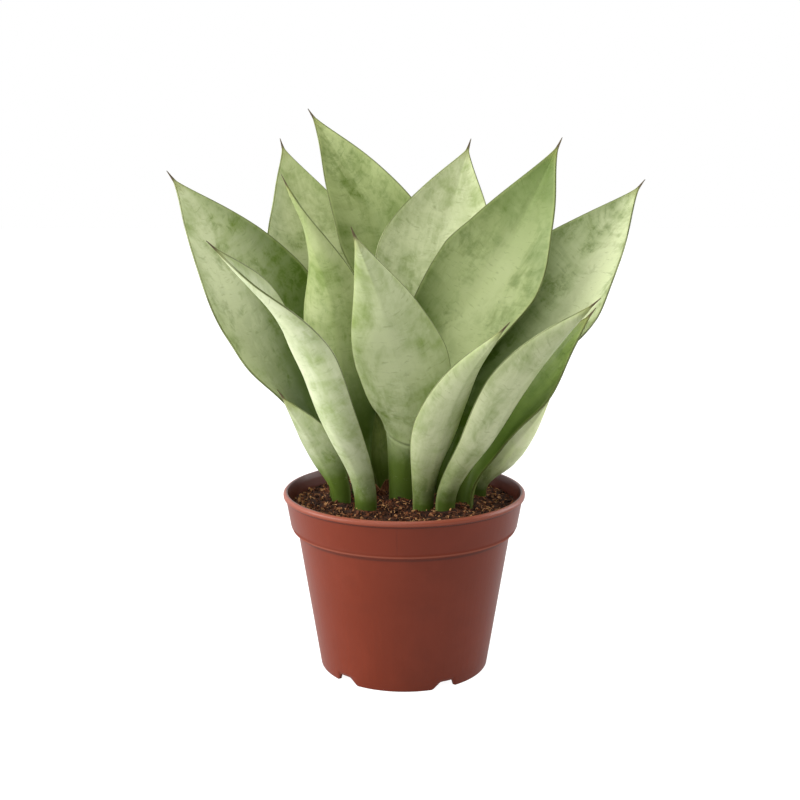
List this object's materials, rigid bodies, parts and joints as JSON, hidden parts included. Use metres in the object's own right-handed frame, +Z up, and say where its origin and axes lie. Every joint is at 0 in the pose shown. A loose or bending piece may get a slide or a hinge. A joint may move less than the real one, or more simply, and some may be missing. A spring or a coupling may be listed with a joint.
{
  "type": "potted snake plant",
  "caption": "Snake plant with broad, pointed, channelled silvery green leaves standing in soil in a tapered plastic nursery pot with a banded rim and a notched foot.",
  "frame": {"origin": "centre of the pot's flat underside, on the surface that it stands on", "axes": "+Z up along the pot's axis, +X to the right and -Y towards the side where the short front leaves stand"},
  "size_m": [0.2386, 0.1507, 0.2787],
  "materials": {
    "pot_plastic": "moulded terracotta-coloured plastic, satin",
    "soil": "moist potting soil with coir fibres, rough",
    "leaf": "waxy leaf skin, satin"
  },
  "bodies": {
    "root": {"pot": "pot_plastic", "soil": "soil", "leaf_front_left": "leaf", "leaf_low_left": "leaf", "leaf_far_left": "leaf", "leaf_left": "leaf", "leaf_back_left": "leaf", "leaf_back": "leaf", "leaf_young": "leaf", "leaf_front": "leaf", "leaf_back_right": "leaf", "leaf_right": "leaf", "leaf_front_right": "leaf", "leaf_mid_right": "leaf", "leaf_side_right": "leaf", "leaf_low_right": "leaf", "leaf_far_right": "leaf"}
  },
  "joints": []
}
